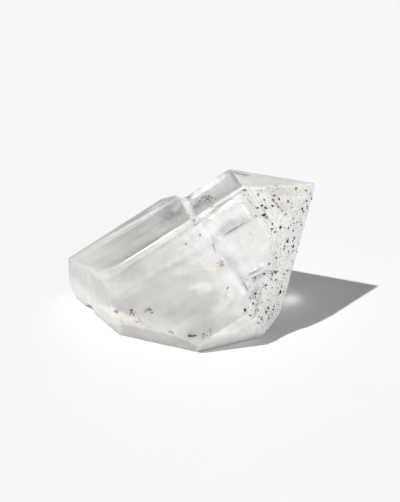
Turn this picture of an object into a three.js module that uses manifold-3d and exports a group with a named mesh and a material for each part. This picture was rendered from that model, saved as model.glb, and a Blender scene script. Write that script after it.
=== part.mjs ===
// A rock crystal from the Himalaya: a parallel growth of clear to milky quartz that lies on the break where
// it left its matrix, with its tip in the air. Millimetres, +Z up.
//
// The crystal is shaped in its own frame first, in which
//   x is "side", across the crystal,
//   y is "along", the c axis, from the broken foot at 0 towards the tip,
//   z is "front", out of the side that has the broad front face.
// Every natural face is a plane of the quartz lattice: six prism faces parallel to the c axis, 60 degrees
// apart, and at the end of each of them a rhombohedral face that leans in to the axis.
import * as THREE from "three";
import { ConvexGeometry } from "three/addons/geometries/ConvexGeometry.js";
import { mergeVertices } from "three/addons/utils/BufferGeometryUtils.js";
import Module from "manifold-3d";

const wasm = await Module();
wasm.setup();
const degrees = THREE.MathUtils.degToRad;

// Driving dimensions
const tipAlong = 71.4; // from the far end of the foot to the tip, on the c axis
const tipHeight = 33.8; // of the tip above the table
const rhombLean = degrees(38.21); // between a rhombohedral face and the c axis
const footAlong = -16; // where the growths start, beyond the breaks that cut them off

// How the crystal lies: "front" looks up a little, and the c axis climbs in the plane square to it
const frontLean = degrees(26); // of front, above the horizontal
const axisClimb = degrees(32.5); // of the c axis, in the plane that front is square to
const axisTurn = 6.5; // degrees about the c axis, by which the prism faces turn: the front face looks up

// Prism faces, by the way their normals point round the c axis, in degrees from front towards side
const bearings = { front: 0, lower: 60, under: 120, back: 180, behind: 240, upper: 300 };

// The growths that make up the crystal share the c axis. Each has the distance of its prism faces from that
// axis, and either the one tip in which its rhombohedral faces meet, or for single faces where they start.
// A growth's "ledges" are thin layers on it that end one after the other, each lower than the last.
const growths = {
  // the main growth, which carries the tip
  main: {
    tip: tipAlong,
    reach: { front: 12.4, lower: 26.2, under: 21.3, back: 14.6, behind: 14.2, upper: 13.6 },
  },
  // the smooth shield on the front of the tip
  shield: {
    tip: 70.9,
    reach: { front: 14.3, lower: 18.1, under: 12, back: 4, behind: 8, upper: 13.1 },
  },
  // the smaller crystal on the upper left
  ridge: {
    tip: 57.1,
    reach: { front: 15.7, lower: 10.5, under: 8, back: 13.0, behind: 18.9, upper: 15.0 },
    start: { behind: 34.0 },
  },
  // the milky body on the lower left, as far as the crack
  body: {
    tip: 57.8,
    reach: { front: 15.7, lower: 26.4, under: 20.5, back: 11.5, behind: 12, upper: 13 },
    start: { front: 39.5, lower: 36.9, under: 33.5 },
  },
  // a narrow terrace in the middle of the front face
  terrace: {
    tip: 68.0,
    reach: { front: 14.9, lower: 7.4, under: 6, back: 4, behind: 6, upper: 12.1 },
    start: { front: 51.0 },
  },
  // the ledges between the terrace and the ridge
  ledge: {
    tip: 60.0,
    reach: { front: 13.4, lower: 3.0, under: 4, back: 4, behind: 6, upper: 13.9 },
    start: { front: 45.0, upper: 44.0 },
  },
  // what shows of the next crystal at the back
  backTerrace: {
    tip: 62.0,
    reach: { front: 2, lower: 9, under: 17.5, back: 16.8, behind: 9.5, upper: 3 },
    start: { back: 38.5 },
    ledges: 3,
  },
  backLedge: {
    tip: 66.0,
    reach: { front: 2, lower: 14, under: 19.8, back: 15.4, behind: 1.5, upper: 3 },
    start: { back: 45.5 },
    ledges: 2,
  },
};
const ledgeRise = 0.17; // of each thin layer
const ledgeLength = 2.6; // how much sooner the first layer ends; each next one gains as much again

// Shell-shaped breaks, in the crystal's frame. Each surface goes through a point. Its outward normal turns
// from along towards side, and leans towards front. The surface falls off by "crown" at "radius", and its
// ripples grow wider away from their centre.
const breaks = {
  leftEnd: { through: [-17.1, 2.4, -8], turn: 212, lean: 1, radius: 34, crown: 0.8, ripple: 0.06 },
  leftFoot: { through: [-11.1, 0.4, -10], turn: 189, lean: 0, radius: 34, crown: 0.8, ripple: 0.06 },
  leftWall: { through: [-7.8, 5.7, 3.2], turn: 188.8, lean: 19.7, radius: 40, crown: 0.5, ripple: 0.05 },
  leftFront: { through: [-5.7, 12.1, 14.0], turn: 195, lean: 57, radius: 46, crown: 1.6, ripple: 0.03 },
  leftCheek: { through: [-4.9, 9.4, 12.4], turn: 192.2, lean: 38.9, radius: 36, crown: 0.3, ripple: 0.02 },
  leftBrow: { through: [-2.4, 14.1, 15.2], turn: 205.8, lean: 72.3, radius: 36, crown: 0.3, ripple: 0.02 },
  footStrip: { through: [12.6, 12.1, 11.4], turn: 153.8, lean: 37.4, radius: 44, crown: 0.4, ripple: 0.08 },
  stainedRim: { through: [7.8, 12.7, 15.2], turn: 162, lean: 44.7, radius: 20, crown: 0.7, ripple: 0.07 },
  leftBack: { through: [-18.7, 4.7, -11.0], turn: 232, lean: -36, radius: 40, crown: 1.2, ripple: 0.2 },
  blunt: { through: [0.4, 71.0, 0], turn: 18, lean: 10, radius: 6, crown: 0, ripple: 0 },
};
const breakRings = 16;
const breakSides = 40;
const firstRipple = 2.2; // radius of the innermost ripple
const wasteDepth = 60; // of what a break takes away

// Small scoops where the edges are chipped: a centre in the crystal's frame and the radius of the scoop
const chips = {
  lip: { centre: [11.6, 46.3, 22.5], radius: 7.2 },
  notch: { centre: [-18.3, 40.2, -2.5], radius: 2.6 },
  shoulder: { centre: [-17.6, 55.5, 0], radius: 2.8 },
  stainedEdge: { centre: [5.4, 3.7, 18.0], radius: 8 },
  leftRim: { centre: [-3.4, -0.6, -6.5], radius: 3.6 },
};
const scoopDetail = 5; // how finely the ball is divided that makes a scoop

const samePlace = 1e-5; // points nearer than this are one point
const noCorner = 1e-6; // three planes whose normals span less volume than this meet in no corner

// The convex body between planes, each given as a normal and a distance from the origin
function convexBetween(planes) {
  const corners = [];
  const cross = new THREE.Vector3();
  for (let i = 0; i < planes.length; i++) {
    for (let j = i + 1; j < planes.length; j++) {
      for (let k = j + 1; k < planes.length; k++) {
        const [a, b, c] = [planes[i], planes[j], planes[k]];
        const volume = a.normal.dot(cross.crossVectors(b.normal, c.normal));
        if (Math.abs(volume) < noCorner) continue;
        const corner = new THREE.Vector3().crossVectors(b.normal, c.normal).multiplyScalar(a.distance);
        corner.addScaledVector(cross.crossVectors(c.normal, a.normal), b.distance);
        corner.addScaledVector(cross.crossVectors(a.normal, b.normal), c.distance);
        corner.divideScalar(volume);
        const within = (plane) => plane.normal.dot(corner) < plane.distance + samePlace;
        if (planes.every(within)) corners.push(corner);
      }
    }
  }
  return new ConvexGeometry(corners);
}

// One growth: prism faces, the rhombohedral face at the end of each, and a flat foot
function growthGeometry({ tip, reach, start = {} }) {
  const planes = [{ normal: new THREE.Vector3(0, -1, 0), distance: -footAlong }];
  for (const [face, bearing] of Object.entries(bearings)) {
    const turned = degrees(bearing - axisTurn);
    const outwards = new THREE.Vector3(Math.sin(turned), 0, Math.cos(turned));
    planes.push({ normal: outwards, distance: reach[face] });
    const begins = start[face] ?? tip - reach[face] / Math.tan(rhombLean);
    const normal = outwards.clone().multiplyScalar(Math.cos(rhombLean));
    normal.y = Math.sin(rhombLean);
    planes.push({ normal, distance: reach[face] * Math.cos(rhombLean) + begins * normal.y });
  }
  return convexBetween(planes);
}

// From three.js to a solid and back, by position alone
function solid(geometry) {
  const bare = geometry.clone();
  bare.deleteAttribute("normal");
  bare.deleteAttribute("uv");
  const merged = mergeVertices(bare, samePlace);
  return new wasm.Manifold(
    new wasm.Mesh({
      numProp: 3,
      vertProperties: new Float32Array(merged.attributes.position.array),
      triVerts: new Uint32Array(merged.index.array),
    }),
  );
}

function geometryOf(shape) {
  const mesh = shape.getMesh();
  const geometry = new THREE.BufferGeometry();
  geometry.setAttribute("position", new THREE.BufferAttribute(new Float32Array(mesh.vertProperties), 3));
  geometry.setIndex(new THREE.BufferAttribute(new Uint32Array(mesh.triVerts), 1));
  return geometry;
}

// The waste that a break takes away: a thick round slab whose inner side is the rippled surface of the break
function breakGeometry({ through, turn, lean, radius, crown, ripple }) {
  const profile = [];
  for (let ring = 0; ring <= breakRings; ring++) {
    const r = (radius * ring) / breakRings;
    const wave = ripple * Math.sin(2 * Math.PI * Math.sqrt(r / firstRipple));
    profile.push(new THREE.Vector2(r, wave - crown * (r / radius) ** 2));
  }
  profile.push(new THREE.Vector2(radius, wasteDepth), new THREE.Vector2(0, wasteDepth));
  const geometry = new THREE.LatheGeometry(profile, breakSides);
  const facing = new THREE.Vector3(Math.sin(degrees(turn)), Math.cos(degrees(turn)), 0);
  facing.multiplyScalar(Math.cos(degrees(lean))).setZ(Math.sin(degrees(lean)));
  geometry.applyQuaternion(new THREE.Quaternion().setFromUnitVectors(new THREE.Vector3(0, 1, 0), facing));
  return geometry.translate(...through);
}

// A growth with its ledges
function grow(growth) {
  let grown = solid(growthGeometry(growth));
  for (let layer = 1; layer <= (growth.ledges ?? 0); layer++) {
    const reach = {};
    for (const face of Object.keys(bearings)) reach[face] = growth.reach[face] + layer * ledgeRise;
    const start = {};
    const sooner = (ledgeLength * layer * (layer + 1)) / 2;
    for (const [face, begins] of Object.entries(growth.start ?? {})) start[face] = begins - sooner;
    grown = grown.add(solid(growthGeometry({ tip: growth.tip - sooner, reach, start })));
  }
  return grown;
}

// Grow the crystal, then break and chip it
let crystal = null;
for (const growth of Object.values(growths)) crystal = crystal ? crystal.add(grow(growth)) : grow(growth);
for (const one of Object.values(breaks)) crystal = crystal.subtract(solid(breakGeometry(one)));
for (const { centre, radius } of Object.values(chips)) {
  crystal = crystal.subtract(solid(new THREE.IcosahedronGeometry(radius, scoopDetail).translate(...centre)));
}

// Lay it down with the tip over the origin, and cut it off at the table
const lying = new THREE.Matrix4()
  .makeTranslation(0, 0, tipHeight)
  .multiply(new THREE.Matrix4().makeRotationX(Math.PI / 2 - frontLean))
  .multiply(new THREE.Matrix4().makeRotationZ(axisClimb - Math.PI / 2))
  .multiply(new THREE.Matrix4().makeTranslation(0, -tipAlong, 0));
const tableBlock = 400;
const below = new THREE.BoxGeometry(tableBlock, tableBlock, tableBlock).translate(0, 0, -tableBlock / 2);
const laid = solid(geometryOf(crystal).applyMatrix4(lying)).subtract(solid(below));

// The origin is on the table, under the middle of the crystal
const quartzGeometry = geometryOf(laid);
quartzGeometry.computeBoundingBox();
const middle = quartzGeometry.boundingBox.getCenter(new THREE.Vector3());
quartzGeometry.translate(-middle.x, -middle.y, 0);
quartzGeometry.computeVertexNormals();

const quartz = new THREE.MeshStandardMaterial({
  color: 0xe4e3e1,
  roughness: 0.12,
  metalness: 0,
  transparent: true,
  opacity: 0.5,
});
const quartzCrystal = new THREE.Mesh(quartzGeometry, quartz);
quartzCrystal.name = "quartz_crystal";

const part = new THREE.Group();
part.add(quartzCrystal);

export default part;
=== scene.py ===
import math

import bmesh
import bpy
import numpy as np
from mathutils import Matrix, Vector
from mathutils.bvhtree import BVHTree


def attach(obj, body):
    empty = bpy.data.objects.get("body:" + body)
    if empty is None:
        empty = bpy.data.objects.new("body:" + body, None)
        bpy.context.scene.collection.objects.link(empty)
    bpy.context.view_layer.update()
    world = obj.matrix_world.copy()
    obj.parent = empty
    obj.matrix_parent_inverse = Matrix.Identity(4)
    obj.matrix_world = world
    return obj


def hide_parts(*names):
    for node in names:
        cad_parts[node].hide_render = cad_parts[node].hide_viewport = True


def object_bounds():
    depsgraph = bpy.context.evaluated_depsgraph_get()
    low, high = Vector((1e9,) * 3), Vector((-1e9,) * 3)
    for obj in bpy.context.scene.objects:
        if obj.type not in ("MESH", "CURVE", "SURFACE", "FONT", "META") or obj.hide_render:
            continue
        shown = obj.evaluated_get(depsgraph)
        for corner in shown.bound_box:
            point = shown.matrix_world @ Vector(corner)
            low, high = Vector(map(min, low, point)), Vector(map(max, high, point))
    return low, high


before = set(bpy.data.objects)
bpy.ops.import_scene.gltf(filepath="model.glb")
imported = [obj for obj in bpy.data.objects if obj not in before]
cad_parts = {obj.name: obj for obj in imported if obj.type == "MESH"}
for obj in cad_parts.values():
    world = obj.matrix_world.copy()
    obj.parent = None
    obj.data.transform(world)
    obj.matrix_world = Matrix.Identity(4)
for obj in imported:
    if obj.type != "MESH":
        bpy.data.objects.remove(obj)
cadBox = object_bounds()
cadLow, cadHigh = np.array(cadBox[0]), np.array(cadBox[1])
mm = 0.001
tiny = 1e-15  # keeps the normal of a sliver from dividing by zero
print("frame loaded")

# How the crystal lies, as in the solid: front looks up a little, and the c axis climbs in the plane that is
# square to front
lie = {
    "frontLean": 26.0,  # degrees, of front above the horizontal
    "axisClimb": 32.5,  # degrees, of the c axis
    "axisTurn": 6.5,  # degrees about the c axis, by which the prism faces turn
    "rhombLean": 38.21,  # degrees, between a tip face and the c axis
    "tipAlong": 71.4,  # mm, from the foot to the tip
}

leanAngle, climbAngle = math.radians(lie["frontLean"]), math.radians(lie["axisClimb"])
rightDir = np.array([1.0, 0.0, 0.0])
upDir = np.array([0.0, math.sin(leanAngle), math.cos(leanAngle)])
frontDir = np.array([0.0, -math.cos(leanAngle), math.sin(leanAngle)])
alongDir = math.cos(climbAngle) * rightDir + math.sin(climbAngle) * upDir
sideDir = math.sin(climbAngle) * rightDir - math.cos(climbAngle) * upDir

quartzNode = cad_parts["quartz_crystal"]
cadPoints = np.zeros(len(quartzNode.data.vertices) * 3)
quartzNode.data.vertices.foreach_get("co", cadPoints)
cadPoints = cadPoints.reshape(-1, 3)

# The tip is the point in which the planes of the six outermost tip faces meet
turnStep = 60  # degrees between neighbouring faces round the c axis
turns = np.radians(np.arange(0, 360, turnStep) - lie["axisTurn"])[:, None]
outwards = np.sin(turns) * sideDir + np.cos(turns) * frontDir
leanAcross, leanAlong = math.cos(math.radians(lie["rhombLean"])), math.sin(math.radians(lie["rhombLean"]))
tipNormals = leanAcross * outwards + leanAlong * alongDir
tipPoint = np.linalg.lstsq(tipNormals, (cadPoints @ tipNormals.T).max(axis=0), rcond=None)[0]


# How deep a point of a tip face lies under the outermost tip face of the same turn, in mm
def underTip(points, turn):
    return np.einsum("ij,ij->i", tipPoint - points, tipNormals[turn]) / mm


# Side, along and front of points, in mm: side and front from the c axis, along from the foot
def inCrystal(points):
    offset = (points - tipPoint) / mm
    return offset @ sideDir, lie["tipAlong"] + offset @ alongDir, offset @ frontDir


# The camera looks along front with a long lens, which shows hardly any perspective
view = {
    "lens": 500.0,  # mm
    "sensor": 36.0,  # mm, along the picture's long side
    "mmPerPixel": 0.27,  # at the tip
    "picture": (400, 502),  # pixels
    "tipPixel": (315.9, 183.4),  # where the tip is in the picture
    "clip": (0.01, 20.0),  # m
}
viewDistance = view["picture"][1] * view["mmPerPixel"] * mm * view["lens"] / view["sensor"]


def makeCamera():
    camData = bpy.data.cameras.new("camera")
    camData.lens = view["lens"]
    camData.sensor_width = view["sensor"]
    camera = bpy.data.objects.new("camera", camData)
    bpy.context.scene.collection.objects.link(camera)
    step = view["mmPerPixel"] * mm
    overRight = (view["tipPixel"][0] - view["picture"][0] / 2) * step
    overUp = (view["picture"][1] / 2 - view["tipPixel"][1]) * step
    place = tipPoint - overRight * rightDir - overUp * upDir + viewDistance * frontDir
    camera.location = Vector(place)
    camera.rotation_mode = "QUATERNION"
    camera.rotation_quaternion = Vector(-frontDir).to_track_quat("-Z", "Y")
    camData.clip_start, camData.clip_end = view["clip"]
    bpy.context.scene.camera = camera
    return place


eye = makeCamera()
print("camera placed")


# The line from the eye through a place in the picture
def rayThrough(px, py):
    step = view["mmPerPixel"] * mm / viewDistance
    overRight, overUp = px - view["picture"][0] / 2, view["picture"][1] / 2 - py
    return overRight * step * rightDir + overUp * step * upDir - frontDir


# The first point of the crystal's surface behind a place in the picture, with its normal
def surfaceAt(tree, px, py):
    hit, normal, *_ = tree.ray_cast(Vector(eye), Vector(rayThrough(px, py)).normalized())
    return (None, None) if hit is None else (np.array(hit), np.array(normal))


# The point of the floor behind a place in the picture
def floorAt(px, py):
    ray = rayThrough(px, py)
    return eye - ray * eye[2] / ray[2]


# A new piece from points and the corners of its faces
def linkMesh(name, points, faces, smooth=False):
    mesh = bpy.data.meshes.new(name)
    mesh.from_pydata(points.tolist(), [], faces.tolist())
    mesh.update()
    mesh.polygons.foreach_set("use_smooth", np.full(len(mesh.polygons), smooth))
    piece = bpy.data.objects.new(name, mesh)
    bpy.context.scene.collection.objects.link(piece)
    return piece


# What comes out of a shader node: Python's operators and the methods below add a node that works on it
class Wire:
    def __init__(self, shade, socket):
        self.shade, self.socket = shade, socket

    def math(self, operation, first, second):
        return self.shade.node("ShaderNodeMath", {"operation": operation}, {0: first, 1: second})

    def __add__(self, other):
        return self.math("ADD", self, other)

    def __sub__(self, other):
        return self.math("SUBTRACT", self, other)

    def __rsub__(self, other):
        return self.math("SUBTRACT", other, self)

    def __mul__(self, other):
        return self.math("MULTIPLY", self, other)

    def __truediv__(self, other):
        return self.math("DIVIDE", self, other)

    def __rtruediv__(self, other):
        return self.math("DIVIDE", other, self)

    __radd__ = __add__
    __rmul__ = __mul__

    def low(self, other):
        return self.math("MINIMUM", self, other)

    def high(self, other):
        return self.math("MAXIMUM", self, other)

    # From the least value, where it was 0, up to 1
    def above(self, least):
        return self * (1 - least) + least

    # 0 at the first value, 1 at the second, smooth between them
    def ramp(self, start, end):
        settings = {"interpolation_type": "SMOOTHSTEP"}
        return self.shade.node("ShaderNodeMapRange", settings, {0: self, 1: start, 2: end, 3: 0.0, 4: 1.0})


# The nodes of a material or of the sky
class Shade:
    def __init__(self, owner):
        owner.use_nodes = True
        self.owner, self.tree = owner, owner.node_tree
        self.tree.nodes.clear()

    # A node of any type: its settings first, then the values or links of its sockets
    def node(self, kind, settings=None, sockets=None, out=0):
        made = self.tree.nodes.new(kind)
        for name, value in (settings or {}).items():
            setattr(made, name, value)
        for name, value in (sockets or {}).items():
            if isinstance(value, Wire):
                self.tree.links.new(value.socket, made.inputs[name])
            else:
                made.inputs[name].default_value = value
        return Wire(self, made.outputs[out]) if made.outputs else None

    def blend(self, factor, first, second):
        settings = {"data_type": "RGBA"}
        return self.node("ShaderNodeMix", settings, {0: factor, 6: first, 7: second}, 2)

    def noise(self, place, scale, detail=3.0, rough=0.55, distort=0.0):
        values = {"Vector": place, "Scale": scale, "Detail": detail}
        values.update({"Roughness": rough, "Distortion": distort})
        return self.node("ShaderNodeTexNoise", {}, values)

    def dot(self, place, direction):
        settings = {"operation": "DOT_PRODUCT"}
        return self.node("ShaderNodeVectorMath", settings, {0: place, 1: tuple(direction)}, 1)

    def stretch(self, place, factors):
        return self.node("ShaderNodeVectorMath", {"operation": "MULTIPLY"}, {0: place, 1: tuple(factors)})

    def attribute(self, name):
        return self.node("ShaderNodeAttribute", {"attribute_name": name}, {}, 2)

    def finish(self, surface, volume=None):
        sockets = {"Surface": surface} if volume is None else {"Surface": surface, "Volume": volume}
        self.node("ShaderNodeOutputMaterial", {}, sockets)
        return self.owner


# The crystal: the solid with growth lines across its faces, and its left end rubbed soft
growth = {
    "lines": (24.0, 70.4),  # mm along, of the first and the last growth line
    "gaps": (0.5, 2.6),  # mm between growth lines
    "gapsDrawn": 90,  # more than fit between the first and the last line
    "lineWidth": 0.08,  # mm, of each riser
    "deepest": 0.05,  # mm, that a band lies lower than the solid's own face
    "gridStep": 1.3,  # mm, between the cuts that let the faces undulate
    "gridSide": (-20, 27),  # mm across, from the first of these cuts to the last
    "gridFront": (-18, 17),  # mm to the front, the same
    "gridAlong": -73,  # mm from the tip, of the first one along the c axis; they end at the first growth line
    "weld": 0.004,  # mm, within which points are one
    "onCut": 0.001,  # mm, within which a point lies on a cut
    "flat": 0.3,  # degrees, within which faces are one
    "swell": 0.02,  # mm, to either side of a level that lies as far in
    "waves": (0.55, 0.2, 0.47, 0.3, 1.0),  # radians per mm, along and side, side and front, and a phase
    "tipShare": 0.5,  # of the growth lines' depth that a tip face shows
    "girth": 14.0,  # mm, the crystal's usual half width
    "softEnd": (12.5, 19.0),  # mm along, where the soft left end starts to grow crisp, and where it is crisp
    "softShift": (-8.0, -3.0, 14.0),  # mm across, between which that moves towards the tip, and how far
    "softHeight": (7.5, 12.0),  # mm above the floor, where it is still crisp, and where it is soft
    "softDepth": (4.0, 8.0),  # mm to the front, the same
    "softRounds": 140,
    "softSteps": (0.5, -0.52),  # of the way to the mean, in and back
    "softLimit": 0.5,  # of full softness, past which no edge is sharp
    "sharp": 24.0,  # degrees, over which an edge is sharp
    "sliver": 0.02,  # mm, the side of the square below which a face is too small to have a kind
    "match": 0.012,  # how near a normal's part along the c axis comes to that of its kind of face
    "resting": -0.999,  # the normal's height below which a face is the resting face
    "tipLayer": 2.2,  # mm under the outermost tip faces, in which a face counts as one of them
    "seed": 11,
}

# How clear each kind of face is, from 0, all milk, to 1, all glass
clearness = {
    "front": 0.30, "lower": 0.06, "upper": 0.56, "prism": 0.32,
    "tip": 0.10, "topTip": 0.22, "ledge": 0.36, "broken": 0.08,
}
frontTurn, lowerTurn, upperTurn = 0, 1, 5  # the turn of the front, of the face below it and of the one above


# 0 up to the start, 1 from the end on, and 3 s s - 2 s s s at the share s of the way between them
def smoothStep(values, start, end):
    share = np.clip((values - start) / (end - start), 0, 1)
    return share * share * (3 - 2 * share)


# The points of a mesh of triangles, and the three corners of each
def triangles(mesh):
    points = np.zeros(len(mesh.vertices) * 3)
    mesh.vertices.foreach_get("co", points)
    corners = np.zeros(len(mesh.loops), np.int64)
    mesh.loops.foreach_get("vertex_index", corners)
    return points.reshape(-1, 3), corners.reshape(-1, 3)


# The normal and the area of each triangle
def faceNormals(points, faces):
    a, b, c = points[faces[:, 0]], points[faces[:, 1]], points[faces[:, 2]]
    normals = np.cross(b - a, c - a)
    size = np.linalg.norm(normals, axis=1)
    return normals / np.maximum(size, tiny)[:, None], size / 2


# The kind of each face, by its normal: whether it is a prism face, whether it is a tip face, and its turn
# about the c axis, as the number of steps from the front
def faceKinds(normals):
    alongPart = normals @ alongDir
    prism = (np.abs(alongPart) < growth["match"]) & (normals[:, 2] > growth["resting"])
    tip = np.abs(alongPart - leanAlong) < growth["match"]
    turn = np.degrees(np.arctan2(normals @ sideDir, normals @ frontDir)) + lie["axisTurn"]
    return prism, tip, np.round(turn / turnStep).astype(int) % len(turns)


# In each round a point moves towards the mean of its neighbours and then a little further back, which rounds
# edges without shrinking the crystal
def soften(points, faces, weight, rounds):
    pairs = np.concatenate([faces[:, [0, 1]], faces[:, [1, 2]], faces[:, [2, 0]]])
    count = np.bincount(pairs[:, 0], minlength=len(points))
    for step in growth["softSteps"] * rounds:
        sums = [np.bincount(pairs[:, 0], points[pairs[:, 1], axis], len(points)) for axis in range(3)]
        mean = np.stack(sums, axis=1) / np.maximum(count, 1)[:, None]
        points = points + step * weight[:, None] * (mean - points)
    return points


# Each point keeps its place along the c axis and moves straight in to it by a small share of its distance.
# The share is the level of its growth band plus a slow swell, the product of two sine waves, and it fades out
# on breaks and on the resting face. Then the left end is softened.
def growCrystal():
    rng = np.random.default_rng(growth["seed"])
    bm = bmesh.new()
    bm.from_mesh(quartzNode.data)
    bmesh.ops.remove_doubles(bm, verts=bm.verts, dist=growth["weld"] * mm)
    bmesh.ops.dissolve_limit(bm, angle_limit=math.radians(growth["flat"]), verts=bm.verts, edges=bm.edges)
    first, last = growth["lines"]
    lines = first + np.cumsum(rng.uniform(*growth["gaps"], growth["gapsDrawn"]))
    lines = lines[lines < last]
    levels = rng.uniform(-1, 0, len(lines) + 1) ** 3 * growth["deepest"]  # the cube keeps most bands high
    levels[0] = 0

    def cut(direction, offset):
        parts = bm.verts[:] + bm.edges[:] + bm.faces[:]
        place = Vector(tipPoint + offset * mm * direction)
        within = growth["onCut"] * mm
        bmesh.ops.bisect_plane(bm, geom=parts, dist=within, plane_co=place, plane_no=Vector(direction))

    for line in lines - lie["tipAlong"]:
        cut(alongDir, line - growth["lineWidth"] / 2)
        cut(alongDir, line + growth["lineWidth"] / 2)
    gridAlong = (growth["gridAlong"], first - lie["tipAlong"])
    grid = ((sideDir, growth["gridSide"]), (frontDir, growth["gridFront"]), (alongDir, gridAlong))
    for direction, reach in grid:
        for offset in np.arange(*reach, growth["gridStep"]):
            cut(direction, offset)
    bmesh.ops.triangulate(bm, faces=bm.faces[:])
    openEdges = sum(not edge.is_manifold for edge in bm.edges)
    mesh = bpy.data.meshes.new("crystal")
    bm.to_mesh(mesh)
    bm.free()

    points, faces = triangles(mesh)
    normals, areas = faceNormals(points, faces)
    prism, tip, turn = faceKinds(normals)
    big = areas > (growth["sliver"] * mm) ** 2
    weight = np.ones(len(points))
    faceWeight = np.where(big, prism + growth["tipShare"] * tip, 1.0)
    for corner in range(3):
        np.minimum.at(weight, faces[:, corner], faceWeight)
    side, along, front = inCrystal(points)
    band = np.searchsorted(lines, along)
    waveAlong, waveSide, crossSide, crossFront, phase = growth["waves"]
    waves = np.sin(along * waveAlong + side * waveSide)
    waves *= np.sin(side * crossSide + front * crossFront + phase)
    share = weight * (levels[band] + growth["swell"] * (waves - 1)) / growth["girth"]
    axisPlace = tipPoint + ((points - tipPoint) @ alongDir)[:, None] * alongDir
    points = points + (points - axisPlace) * share[:, None]
    start, end, shift = growth["softShift"]
    soft = 1 - smoothStep(along - shift * smoothStep(side, start, end), *growth["softEnd"])
    soft *= smoothStep(points[:, 2] / mm, *growth["softHeight"]) * smoothStep(front, *growth["softDepth"])
    points = soften(points, faces, soft, growth["softRounds"])
    points = np.clip(points, cadLow, cadHigh)
    mesh.vertices.foreach_set("co", points.ravel())

    ledge = tip & (underTip(points[faces].mean(axis=1), turn) > growth["tipLayer"])
    tip &= ~ledge
    clear = np.full(len(faces), clearness["broken"])
    clear[ledge] = clearness["ledge"]
    clear[prism] = clearness["prism"]
    clear[tip] = clearness["tip"]
    clear[prism & (turn == frontTurn)] = clearness["front"]
    clear[prism & (turn == lowerTurn)] = clearness["lower"]
    clear[prism & (turn == upperTurn)] = clearness["upper"]
    clear[tip & (turn == upperTurn)] = clearness["topTip"]
    broken = np.where(big & ~prism & ~tip & ~ledge, 1.0, 0.0)
    for name, values in (("broken", broken), ("clear", clear), ("tipFace", tip)):
        layer = mesh.attributes.new(name, "FLOAT", "FACE")
        layer.data.foreach_set("value", values.astype(np.float32))
    mesh.polygons.foreach_set("use_smooth", np.full(len(mesh.polygons), True))
    mesh.update()
    mesh.set_sharp_from_angle(angle=math.radians(growth["sharp"]))
    ends = np.zeros(len(mesh.edges) * 2, np.int64)
    mesh.edges.foreach_get("vertices", ends)
    sharpEdges = np.zeros(len(mesh.edges), bool)
    mesh.attributes["sharp_edge"].data.foreach_get("value", sharpEdges)
    sharpEdges &= soft[ends.reshape(-1, 2)].max(axis=1) < growth["softLimit"]
    mesh.attributes["sharp_edge"].data.foreach_set("value", sharpEdges)
    crystal = bpy.data.objects.new("crystal", mesh)
    bpy.context.scene.collection.objects.link(crystal)
    print("crystal grown:", len(lines), "growth lines,", len(faces), "faces,", openEdges, "open edges")
    return crystal


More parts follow.
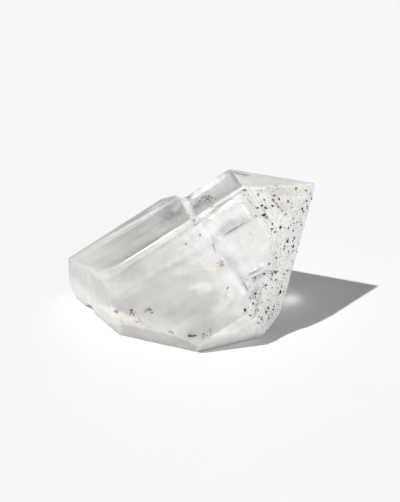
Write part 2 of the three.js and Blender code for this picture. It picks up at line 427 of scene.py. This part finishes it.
quartzLook = {
    "ior": 1.544,
    "clearGlass": (0.975, 0.97, 0.955, 1),
    # glass painted darker where its inside should look dark: painted shade
    "paintedDarkGlass": (0.45, 0.45, 0.46, 1),
    "glassRough": 0.04,
    "glassDull": 0.14,  # added to the roughness on the breaks
    "glassStreaks": 0.06,  # added to it in the streaks
    "absorb": (0.90, 0.91, 0.92, 1),
    "absorbDensity": 6.0,  # per m
    "milk": 0.92,  # share of milk where a face is not clear at all
    "leastMilk": 0.04,
    "mostMilk": 0.95,
    "milkRough": 0.35,
    "milkDull": 0.2,  # added to the roughness on the breaks
    "milkDepth": 4.0,  # mm that light spreads in the milk
    "deepMilkDepth": 14.0,  # mm, at the left end, where edges blur
    "leftClear": 0.30,  # how clear every face is at the left end
    "leftClearLow": 0.4,  # share of that near the floor
    "whitest": (0.96, 0.95, 0.918, 1),
    "greyest": (0.91, 0.90, 0.868, 1),
    "dim": (0.815, 0.80, 0.772, 1),  # the milk of the left end, and the painted shade in the hollows of the tip faces
    "dimLow": 0.5,  # how dim the left end is near the floor
    "rustTint": (0.94, 0.905, 0.83, 1),  # the milk of the tip faces, under their specks
    "rustShare": 0.4,
    "cream": (0.92, 0.865, 0.73, 1),  # the stain
    "ink": (0.10, 0.10, 0.11, 1),  # cracks and scratches
    "grey": (0.63, 0.62, 0.60, 1),  # the greyer milk of the painted shade marks and of the shaded strip

    # where each starts and where it is full, in mm
    "facing": (-8.0, -5.0),  # to the front: the side that the picture shows
    "crisp": (9.0, 26.0),  # along: from the left end to where each face has its own clearness
    "crispShift": (-11.0, -7.0, 6.0),  # across, between which that moves towards the tip, and how far
    "lifted": (4.0, 10.0),  # above the floor
    "dimEnd": (36.0, 12.0),  # along: the dim milk
    "deepEnd": (22.0, 8.0),  # along: the deep milk
    "deepHeight": (5.0, 11.0),  # above the floor: the deep milk
    "stainEnd": (18.0, 13.0),  # along: the stain

    # noises over side, along and front in mm: stretch on each, scale, detail, roughness and distortion
    "noises": {
        "cloud": ((1.0, 1.0, 1.0), 0.09, 3.0, 0.5, 0.3),
        "streak": ((1.0, 0.14, 1.0), 0.33, 3.0, 0.5, 0.2),
        "wisp": ((1.0, 1.0, 1.0), 0.45, 4.0, 0.6, 0.0),
        "fine": ((1.0, 1.0, 1.0), 1.6, 4.0, 0.6, 0.0),
        "lines": ((0.12, 5.0, 0.12), 0.9, 3.0, 0.5, 0.0),
        "pits": ((1.0, 1.0, 1.0), 2.6, 2.0, 0.5, 0.0),
    },
    # how much a noise adds to the milk or takes from it
    "cloudMilk": 0.30,
    "streakMilk": 0.24,
    "fineMilk": 0.06,
    # at which value of a noise a feature starts, and at which it is full
    "cloudTones": (0.3, 0.7),  # the whitest milk
    "darkGlassStreaks": (0.2, 0.6),
    "roughStreaks": (0.5, 0.8),
    "scratchLines": (0.52, 0.62),
    "spots": (0.60, 0.70),  # milky spots on the tip faces
    "hollowShade": (0.40, 0.30),  # painted shade in the hollows between them
    "spotMilk": 0.4,
    "hollowDim": 0.35,
    "darkGlassLow": 0.5,  # share of the painted dark glass between the streaks

    "bumpStrength": 0.2,
    "bumpDepth": 0.03,  # mm
    "lineBump": 0.7,
    "fineBump": 0.6,
    "pitBump": 1.5,  # on the tip faces

    # Marks on the front are soft ovals, given by where they are in the picture: x, y, half length and half
    # width in pixels, degrees from level, and strength. Where they start and where they are full, as the
    # square of the distance from the middle over the half sizes:
    "softEdge": (1.3, -0.2),
    "crispEdge": (1.15, 0.85),
    # how much the noises fray them, and the share of that for each kind
    "wispFray": 2.6,
    "fineFray": 1.2,
    "fray": {
        "veils": 1.0, "smokes": 0.4, "greys": 0.5, "strip": 0.3,
        "cracks": 0.4, "scratches": 1.0, "stain": 1.3,
    },
    # more milk, or less
    "veils": [
        (188, 207, 13, 4.5, -66, 0.32),  # the white step at the end of the upper left crystal
        (208, 185.8, 26, 4.0, 33, 0.62),  # the light upper edge of the tip's upper face
        (199, 203, 10, 6, 33, -0.20),  # and its clear left end
        (226, 206, 9, 3, 36, 0.30),  # the bright streak on the ledges
        (202, 218, 10, 5, 33, 0.30),
        (238, 195, 8, 4, 20, 0.25),
        (209, 231, 10, 7, 30, 0.14),  # the white facet
        (200, 258, 26, 16, 30, -0.10),
        (231, 227, 22, 7, 28, -0.26),  # the dark lens
        (170, 212, 17, 12, 35, -0.20),  # the clear right end of the upper left face
        (135, 222, 50, 1.6, 29, 0.20),  # the light line along the upper left edge
        (138, 244, 34, 6, 31, 0.10),  # and its milkier lower edge
        (196, 286, 11, 3, 27, 0.12),  # bruises
        (204, 288, 10, 6, 25, 0.14),
        (221, 303, 14, 7, 30, 0.14),
        (222, 243, 15, 7, -60, 0.12),
        (236, 282, 26, 20, 40, 0.14),
        (250, 286, 9, 12, 0, 0.12),
    ],
    # glass painted darker, in streaks: painted shade for the dark surroundings seen through the clear faces
    "smokes": [
        (171, 208, 14, 7, 33, 0.45),
        (199, 203, 12, 6, 33, 0.35),
        (230, 228, 20, 5, 28, 0.55),
    ],
    # greyer milk, painted where the front should look darker: painted shade over sunlit facets, edges and
    # ledges, and along the lower face a painted reflection of the floor's shadow
    "greys": [
        (120, 269, 25, 14, 0, 0.75),  # the brow of the left end
        (158, 260, 46, 14, 30, 0.60),  # the front below its long upper edge
        (140, 252, 40, 5, 33, 0.60),  # that edge
        (180, 275, 42, 14, 12, 0.45),
        (182, 307, 22, 12, 18, 0.40),
        (206, 308, 26, 8, 27, 0.25),
        (207, 328, 33, 10, 25, 0.65),  # the lower face
        (214, 341, 30, 6, 12, 0.50),  # and its lower edge
        (238, 321, 17, 7, 30, 0.45),
        (205, 215, 12, 4, 36, 0.60),  # the ledges under the tip
        (211, 214.5, 19, 3.6, 36, 0.75),
        (241, 193, 8, 5, 30, 0.60),
        (252, 206, 18, 5, -56, 0.60),
        (282, 192, 32, 5, -4, 0.45),
        (250, 243, 16, 10, 0, 0.30),
        (239, 173, 13, 5, -10, 0.75),  # the dark corner of the uppermost tip face
    ],
    "strip": [(152, 338, 50, 8, -13, 0.62)],  # painted shade: the darker strip below the rim of the foot, with a crisp edge
    "cracks": [
        (214, 248, 8, 0.9, -72, 1.0),
        (234, 229, 15, 1.2, 30, 1.0),  # below the dark lens
        (254, 272, 12, 1.1, 27, 1.0),  # the lip
        (245, 286, 8, 1.2, -62, 1.0),
        (255, 293.5, 5, 0.6, -5, 1.0),
        (148, 212, 36, 0.9, 29, 1.0),
        (188.5, 197, 5, 1.8, 15, 1.0),  # the notch
        (206, 198.5, 4, 1.5, 15, 1.0),  # dark marks on the clear faces on either side of it
        (208, 203.5, 7, 0.8, 33, 1.0),
        (172, 209.5, 3.5, 1.8, 20, 1.0),
        (166, 213.5, 7, 0.8, 33, 1.0),
        (236, 173, 6, 0.9, -14, 1.0),  # streaks on the uppermost tip face
        (246, 175, 7, 0.7, -10, 1.0),
    ],
    "crackMilk": 0.3,
    "crackInk": 0.8,
    "scratches": [(200, 300, 24, 13, 25, 1.0)],  # where growth lines show dark
    "scratchInk": 0.12,
    "stain": [(123, 316, 25, 4.8, -25, 1.0)],  # cream dirt on the rim of the foot
    "stainMilk": 0.5,
    "stainCream": 0.5,
}


# A soft oval in the picture's pixels, 1 in the middle and 0 outside. The square of the distance over the half
# sizes goes up and down with the wobble, which frays the oval, and a smooth ramp makes it a mask.
def oval(x, y, place, wobble, edge):
    px, py, halfLength, halfWidth, turn = place
    cosTurn, sinTurn = math.cos(math.radians(turn)), math.sin(math.radians(turn))
    lengthwise = (x - px) * (cosTurn / halfLength) - (y - py) * (sinTurn / halfLength)
    crosswise = (x - px) * (sinTurn / halfWidth) + (y - py) * (cosTurn / halfWidth)
    return (lengthwise * lengthwise + crosswise * crosswise + wobble).ramp(*edge)


def quartzMaterial():
    look = quartzLook
    shade = Shade(bpy.data.materials.new("milkyQuartz"))
    place = shade.node("ShaderNodeTexCoord", out=3)  # Object coordinates
    broken, clear, tipFace = shade.attribute("broken"), shade.attribute("clear"), shade.attribute("tipFace")
    centred = shade.node("ShaderNodeVectorMath", {"operation": "SUBTRACT"}, {0: place, 1: tuple(tipPoint)})
    side, front = shade.dot(centred, sideDir) / mm, shade.dot(centred, frontDir) / mm
    along = shade.dot(centred, alongDir) / mm + lie["tipAlong"]
    crystalPlace = shade.node("ShaderNodeCombineXYZ", {}, {0: side, 1: along, 2: front})
    height = shade.dot(place, (0, 0, 1)) / mm
    pixel = view["mmPerPixel"] * mm
    x = shade.dot(centred, rightDir) / pixel + view["tipPixel"][0]
    y = view["tipPixel"][1] - shade.dot(centred, upDir) / pixel

    def noise(name):
        factors, *values = look["noises"][name]
        return shade.noise(shade.stretch(crystalPlace, factors), *values)

    cloud, streak, wisp = noise("cloud"), noise("streak"), noise("wisp")
    fine, lines, pits = noise("fine"), noise("lines"), noise("pits")
    middle = 0.5  # of a noise
    facing, lifted = front.ramp(*look["facing"]), height.ramp(*look["lifted"])
    start, end, shift = look["crispShift"]
    crisp = (along - side.ramp(start, end) * shift).ramp(*look["crisp"])
    dull = broken * crisp
    wobble = (wisp - middle) * look["wispFray"] + (fine - middle) * look["fineFray"]

    # The sum of all marks of a kind, each times its strength
    def marks(kind, edge="softEdge"):
        frayed, total = wobble * look["fray"][kind], 0.0
        for *spot, strength in look[kind]:
            total = oval(x, y, spot, frayed, look[edge]) * strength + total
        return total

    cracks = marks("cracks").low(1.0) * facing
    scratches = marks("scratches") * lines.ramp(*look["scratchLines"]) * facing
    stain = marks("stain") * facing * along.ramp(*look["stainEnd"])
    # Painted shade: greyer milk where the front should look darker, and on the strip below the rim of the
    # foot
    grey = (marks("greys") + marks("strip", "crispEdge")) * facing
    # Painted shade: the glass is tinted darker in streaks where its inside should look dark
    darkGlassStreaks = streak.ramp(*look["darkGlassStreaks"]).above(look["darkGlassLow"])
    darkGlass = (marks("smokes") * facing * darkGlassStreaks).low(1.0)

    # How much milk there is, from 0 to 1
    faceClear = clear * crisp + (1 - crisp) * lifted.above(look["leftClearLow"]) * look["leftClear"]
    milk = look["milk"] - faceClear + marks("veils") * facing + (cloud - middle) * look["cloudMilk"]
    milk = milk + (streak - middle) * look["streakMilk"] + (fine - middle) * look["fineMilk"]
    milk = milk + tipFace * pits.ramp(*look["spots"]) * look["spotMilk"]
    milk = milk + cracks * look["crackMilk"] + stain * look["stainMilk"]
    milk = milk.low(look["mostMilk"]).high(look["leastMilk"])

    milkColour = shade.blend(cloud.ramp(*look["cloudTones"]), look["greyest"], look["whitest"])
    dimShare = along.ramp(*look["dimEnd"]) * lifted.above(look["dimLow"])
    milkColour = shade.blend(dimShare, milkColour, look["dim"])
    milkColour = shade.blend(tipFace * look["rustShare"], milkColour, look["rustTint"])
    # Painted shade in the hollows of the tip faces' bump
    hollowShade = tipFace * pits.ramp(*look["hollowShade"]) * look["hollowDim"]
    milkColour = shade.blend(hollowShade, milkColour, look["dim"])
    milkColour = shade.blend(grey, milkColour, look["grey"])
    milkColour = shade.blend(stain * look["stainCream"], milkColour, look["cream"])
    inked = cracks * look["crackInk"] + scratches * look["scratchInk"]
    milkColour = shade.blend(inked, milkColour, look["ink"])

    bumpHeight = lines * look["lineBump"] + fine * look["fineBump"] + tipFace * pits * look["pitBump"]
    bumpValues = {"Strength": look["bumpStrength"], "Distance": look["bumpDepth"] * mm, "Height": bumpHeight}
    bump = shade.node("ShaderNodeBump", {}, bumpValues)
    glassRough = look["glassRough"] + dull * look["glassDull"]
    glassRough = glassRough + streak.ramp(*look["roughStreaks"]) * look["glassStreaks"]
    glass = shade.node("ShaderNodeBsdfPrincipled", {}, {
        "Base Color": shade.blend(darkGlass, look["clearGlass"], look["paintedDarkGlass"]),
        "Roughness": glassRough,
        "IOR": look["ior"],
        "Transmission Weight": 1.0,
        "Normal": bump,
    })

    # Milk scatters light near its surface, to a depth in mm
    def milky(depth):
        return shade.node("ShaderNodeBsdfPrincipled", {}, {
            "Base Color": milkColour,
            "Roughness": look["milkRough"] + dull * look["milkDull"],
            "IOR": look["ior"],
            "Subsurface Weight": 1.0,
            "Subsurface Radius": (1.0, 1.0, 1.0),
            "Subsurface Scale": depth * mm,
            "Normal": bump,
        })

    deep = along.ramp(*look["deepEnd"]) * height.ramp(*look["deepHeight"])
    milks = {0: deep, 1: milky(look["milkDepth"]), 2: milky(look["deepMilkDepth"])}
    milkShader = shade.node("ShaderNodeMixShader", {}, milks)
    surface = shade.node("ShaderNodeMixShader", {}, {0: milk, 1: glass, 2: milkShader})
    absorbValues = {"Color": look["absorb"], "Density": look["absorbDensity"]}
    return shade.finish(surface, shade.node("ShaderNodeVolumeAbsorption", {}, absorbValues))


crystal = growCrystal()
crystal.data.materials.append(quartzMaterial())
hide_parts("quartz_crystal")
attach(crystal, "root")
print("quartz finished")


# Grains of dark and rusty mineral that grew on the tip faces, and dirt in the cracks. The ones that the
# picture shows well are given by where they are in it: x, y and radius in pixels. The rest are strewn over
# the tip.
grainLook = {
    "seed": 5,
    "around": 8,  # corners of a grain's outline
    "rings": 4,  # steps from its top to its foot
    "flatness": 0.9,  # height over radius
    "sunk": 0.1,  # of the height
    "lumps": (0.3, 0.15),  # of the radius: waves that go round twice and three times
    "seenScale": 1.25,  # times the radius in the picture
    "heapSizes": (0.6, 1.3),  # of a heap's radius, the least and the greatest of its grains
    "rough": 0.45,
    "crustRough": 0.3,  # added where the crust is thick
    "toneNoise": (900.0, 2.0),  # scale per m, and detail
    "crustNoise": (6000.0, 3.0),
    "tones": (0.35, 0.65),  # value of the noise at which the second colour starts, and at which it is full
    "bumpStrength": 0.4,
    "bumpDepth": 0.02,  # mm
    # for each kind, its material's name and two colours
    "minerals": {
        "dark": ("darkMineral", (0.012, 0.010, 0.010, 1), (0.05, 0.032, 0.024, 1)),
        "rust": ("rustyMineral", (0.20, 0.085, 0.035, 1), (0.42, 0.25, 0.13, 1)),
    },
    "darkSeen": [
        (296, 188.5, 1.1), (306, 190.5, 0.9), (314, 193, 1.1), (306.5, 201, 1.1), (288, 201.5, 1.0),
        (307, 206.5, 0.9), (302, 209, 1.1), (303.5, 211.5, 1.0), (301, 225, 0.9), (305, 224, 1.0),
        (294, 223.5, 0.8), (288.5, 228, 0.9), (293, 230.5, 0.9), (280.5, 227.5, 1.3), (272, 229, 1.0),
        (275, 232, 0.9), (272.5, 224, 0.8), (264, 215, 1.6), (262, 205.5, 1.2), (265.5, 208, 1.2),
        (257.5, 208, 1.0), (272.5, 206, 1.1), (274, 195.5, 1.0), (279, 199, 1.1), (287, 241.5, 1.3),
        (293, 246.5, 1.2), (284.5, 246, 0.8), (284, 249, 0.9), (288.5, 251.5, 0.8), (299, 246, 1.0),
        (296, 262.5, 0.9), (287, 270.5, 0.9), (276, 258, 1.0), (269, 264, 1.0), (264, 274, 1.0),
        (276, 279.5, 0.9), (265.5, 285, 1.0), (280, 292, 1.5), (253, 303.5, 1.1), (268, 308, 1.2),
        (273, 309.5, 0.9), (266, 312, 1.1), (245, 310, 1.3), (250, 315.5, 1.0), (255.5, 293.5, 1.1),
    ],
    "rustSeen": [
        (311.5, 198.5, 1.0), (266.5, 217.5, 1.3), (273, 200, 1.4), (278, 206.5, 1.2), (282, 210.5, 0.9),
        (258, 194.5, 1.1), (264.5, 200, 0.8), (297, 251.5, 0.8), (271.5, 279, 0.8), (281.5, 286.5, 0.9),
        (284, 291.5, 0.8), (268.5, 318.5, 0.9), (258, 323, 0.9), (266, 330, 0.8), (255, 277.5, 0.9),
        (227.5, 288, 0.9), (194, 220, 0.9), (200, 235, 0.8), (186, 244, 0.8),
    ],
    # small heaps: x, y, how far they spread across and up in pixels, how many grains, and their radius
    "rustHeaps": [
        (273.5, 272.5, 1.6, 1.6, 9, 0.8), (221, 264, 2.0, 2.3, 20, 0.5), (194, 220, 1.6, 1.2, 5, 0.45),
        (117, 311.5, 1.6, 1.0, 8, 0.7), (138, 321, 3.0, 1.6, 10, 0.4), (171, 332, 1.5, 1.0, 6, 0.6),
        (210, 331, 1.8, 1.4, 6, 0.5), (256, 290, 7.0, 11.0, 12, 0.4),
    ],
    "darkHeaps": [
        (132, 312, 2.0, 1.6, 12, 0.55), (149, 311.5, 2.2, 1.6, 11, 0.5), (193, 336, 3.0, 0.6, 12, 0.6),
        (207, 198, 4.5, 2.0, 18, 0.6), (206, 337, 3.0, 2.0, 6, 0.45), (257, 291, 7.0, 11.0, 30, 0.45),
    ],
    "strewn": {"dark": 1300, "rust": 200},
    "strewnRadius": (0.05, 0.13),  # mm
    "everyNth": 16,  # of the strewn grains is a large one
    "largeRadius": (0.16, 0.27),  # mm
    # how thickly grains lie on the tip face of each turn about the c axis
    "density": (1.0, 1.0, 0.8, 0.6, 0.3, 0.03),
}


# The places, normals and radii in mm of grains that are given by places in the picture
def seenGrains(tree, places):
    scale = view["mmPerPixel"] * grainLook["seenScale"]
    found = [(*surfaceAt(tree, x, y), radius * scale) for x, y, radius in places]
    found = [grain for grain in found if grain[0] is not None]
    return [np.array(values) for values in zip(*found)]


# The grains of each heap lie about its middle by the bell curve, across and up in the picture
def heapPlaces(rng, heaps):
    places = []
    for x, y, across, up, count, radius in heaps:
        spots = rng.normal(0, 1, (count, 2)) * (across, up) + (x, y)
        sizes = rng.uniform(*grainLook["heapSizes"], count)
        places += [(px, py, radius * size) for (px, py), size in zip(spots, sizes)]
    return places


# Grains strewn over the tip faces: each lies at a random place of a random triangle, by area and density
def strewnGrains(rng, points, faces, count):
    normals, areas = faceNormals(points, faces)
    _, tip, turn = faceKinds(normals)
    tip &= underTip(points[faces].mean(axis=1), turn) < growth["tipLayer"]
    share = areas * tip * np.array(grainLook["density"])[turn]
    chosen = rng.choice(len(faces), count, p=share / share.sum())
    a, b = rng.random((2, count, 1))
    a, b = np.where(a + b > 1, 1 - a, a), np.where(a + b > 1, 1 - b, b)
    corners = points[faces[chosen]]
    places = corners[:, 0] + a * (corners[:, 1] - corners[:, 0]) + b * (corners[:, 2] - corners[:, 0])
    radii = rng.uniform(*grainLook["strewnRadius"], count)
    large = np.arange(count) % grainLook["everyNth"] == 0
    radii[large] = rng.uniform(*grainLook["largeRadius"], large.sum())
    return places, normals[chosen], radii


# A grain is a squat lump: at angle u about the surface normal and v from its top, the radius is
# r sin v (1 + a sin(2u + p) + b sin(3u + q)), where a and b are the lumps, and the height is flatness r times
# cos v less what is sunk
def growGrains(name, rng, places, normals, radii, material):
    count, around, rings, sunk = len(places), grainLook["around"], grainLook["rings"], grainLook["sunk"]
    helper = rng.normal(0, 1, (count, 3))
    first = np.cross(normals, helper)
    first /= np.linalg.norm(first, axis=1)[:, None]
    second = np.cross(normals, first)
    u = np.arange(around) * 2 * math.pi / around
    v = np.arange(1, rings) * math.pi / rings
    phase = rng.uniform(0, 2 * math.pi, (2, count, 1, 1))
    twice, thrice = grainLook["lumps"]
    lumpy = 1 + twice * np.sin(2 * u + phase[0]) + thrice * np.sin(3 * u + phase[1])
    radius = radii[:, None, None] * mm * np.sin(v)[:, None] * lumpy
    high = radii[:, None, None] * mm * grainLook["flatness"]
    height = high * (np.cos(v)[:, None] - sunk) + 0 * u  # the same all round
    body = (radius * np.cos(u))[..., None] * first[:, None, None]
    body = body + (radius * np.sin(u))[..., None] * second[:, None, None]
    body = (body + height[..., None] * normals[:, None, None]).reshape(count, -1, 3)
    poles = np.stack([high[:, 0] * (1 - sunk), high[:, 0] * (-1 - sunk)], axis=1)
    points = np.concatenate([body, poles * normals[:, None]], axis=1) + places[:, None]
    points = np.clip(points, cadLow, cadHigh)

    ring, corner = np.meshgrid(np.arange(rings - 2), np.arange(around), indexing="ij")
    here, there = ring * around + corner, ring * around + (corner + 1) % around
    sides = np.stack([here, here + around, there + around, here, there + around, there], axis=-1)
    sides = sides.reshape(-1, 3)
    rim, lastRing = np.arange(around), (rings - 2) * around
    nextRim = (rim + 1) % around
    top = np.stack([np.full(around, (rings - 1) * around), rim, nextRim], axis=1)
    bottom = np.stack([np.full(around, (rings - 1) * around + 1), lastRing + nextRim, lastRing + rim], axis=1)
    pattern = np.concatenate([sides, top, bottom])
    faces = pattern + np.arange(count)[:, None, None] * points.shape[1]
    grains = linkMesh(name, points.reshape(-1, 3), faces.reshape(-1, 3), smooth=True)
    grains.data.materials.append(material)
    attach(grains, "root")
    print(name, "placed:", count)


def grainMaterial(name, first, second):
    shade = Shade(bpy.data.materials.new(name))
    place = shade.node("ShaderNodeTexCoord", out=3)  # Object coordinates
    tone = shade.noise(place, *grainLook["toneNoise"])
    crust = shade.noise(place, *grainLook["crustNoise"])
    bumpDepth = grainLook["bumpDepth"] * mm
    bumpValues = {"Strength": grainLook["bumpStrength"], "Distance": bumpDepth, "Height": crust}
    return shade.finish(shade.node("ShaderNodeBsdfPrincipled", {}, {
        "Base Color": shade.blend(tone.ramp(*grainLook["tones"]), first, second),
        "Roughness": crust * grainLook["crustRough"] + grainLook["rough"],
        "Normal": shade.node("ShaderNodeBump", {}, bumpValues),
    }))


def makeGrains():
    rng = np.random.default_rng(grainLook["seed"])
    points, faces = triangles(crystal.data)
    tree = BVHTree.FromPolygons(points.tolist(), faces.tolist())
    for kind, mineral in grainLook["minerals"].items():
        seen = seenGrains(tree, grainLook[kind + "Seen"] + heapPlaces(rng, grainLook[kind + "Heaps"]))
        strewn = strewnGrains(rng, points, faces, grainLook["strewn"][kind])
        both = [np.concatenate(pair) for pair in zip(seen, strewn)]
        growGrains(kind + "_grains", rng, *both, grainMaterial(*mineral))


makeGrains()


# The floor and the light
stageLook = {
    "floorSize": 6.0,  # m
    "floorColours": ((0.82, 0.82, 0.825, 1), (0.81, 0.81, 0.82, 1)),
    "floorMottle": 60.0,  # scale of the noise that mixes them, per m
    "floorRough": 0.6,
    "skyColour": (0.215, 0.217, 0.225, 1),
    "fillColour": (3.1, 3.1, 3.1, 1),  # the wide soft light that stands low on the right
    "fillFrom": -35.0,  # degrees about Z from +X
    "fillHeight": (0.5, 0.0),  # sine of its altitude, where it has faded out, and where it is full
    "fillSpread": (0.1, 0.95),  # cosine from its middle, where it has faded out, and where it is full
    "sunAltitude": 61.3,  # degrees
    "sunFrom": 199.0,  # degrees about Z from +X, where the light comes from
    "sunPower": 3.25,
    "sunAngle": 1.6,  # degrees that the sun is wide
    "glowAt": (289, 299.5),  # where in the picture the crystal throws a soft patch of light into its shadow
    "glowFrom": (0.6, 0.3, 4.2),  # mm, from that patch to its light
    "glowSize": 0.2,  # mm
    "glowPower": 0.00034,  # W
    "glowSpread": 130.0,  # degrees
}


# A light that is turned so that it shines from a direction
def addLight(name, kind, fromDir):
    light = bpy.data.objects.new(name, bpy.data.lights.new(name, kind))
    light.rotation_mode = "QUATERNION"
    light.rotation_quaternion = fromDir.to_track_quat("Z", "Y")
    bpy.context.scene.collection.objects.link(light)
    return light


def makeStage():
    half = stageLook["floorSize"] / 2
    corners = np.array([[-half, -half, 0], [half, -half, 0], [half, half, 0], [-half, half, 0]])
    floor = linkMesh("floor", corners, np.array([[0, 1, 2, 3]]))
    floorShade = Shade(bpy.data.materials.new("paleFloor"))
    place = floorShade.node("ShaderNodeTexCoord", out=3)  # Object coordinates
    mottle = floorShade.noise(place, stageLook["floorMottle"])
    floorColour = floorShade.blend(mottle, *stageLook["floorColours"])
    floorValues = {"Base Color": floorColour, "Roughness": stageLook["floorRough"]}
    surface = floorShade.node("ShaderNodeBsdfPrincipled", {}, floorValues)
    floor.data.materials.append(floorShade.finish(surface))

    altitude, bearing = math.radians(stageLook["sunAltitude"]), math.radians(stageLook["sunFrom"])
    level = math.cos(altitude)
    toSun = Vector((level * math.cos(bearing), level * math.sin(bearing), math.sin(altitude)))
    sun = addLight("key", "SUN", toSun)
    sun.data.energy = stageLook["sunPower"]
    sun.data.angle = math.radians(stageLook["sunAngle"])

    toGlow = Vector(stageLook["glowFrom"])
    glow = addLight("glow", "SPOT", toGlow)
    glow.location = Vector(floorAt(*stageLook["glowAt"])) + toGlow * mm
    glow.data.energy = stageLook["glowPower"]
    glow.data.shadow_soft_size = stageLook["glowSize"] * mm
    glow.data.spot_size = math.radians(stageLook["glowSpread"])
    glow.data.spot_blend = 1.0

    skyShade = Shade(bpy.data.worlds.new("studio"))
    towards = skyShade.node("ShaderNodeTexCoord", out=0)  # the direction that is seen
    fillAngle = math.radians(stageLook["fillFrom"])
    across = skyShade.dot(towards, (math.cos(fillAngle), math.sin(fillAngle), 0))
    upwards = skyShade.dot(towards, (0, 0, 1))
    fill = across.ramp(*stageLook["fillSpread"]) * upwards.ramp(*stageLook["fillHeight"])
    sky = skyShade.blend(fill, stageLook["skyColour"], stageLook["fillColour"])
    background = skyShade.node("ShaderNodeBackground", {}, {"Color": sky})
    skyShade.node("ShaderNodeOutputWorld", {}, {"Surface": background})
    bpy.context.scene.world = skyShade.owner
    bpy.context.scene.view_settings.view_transform = "Standard"


makeStage()
print("stage set")
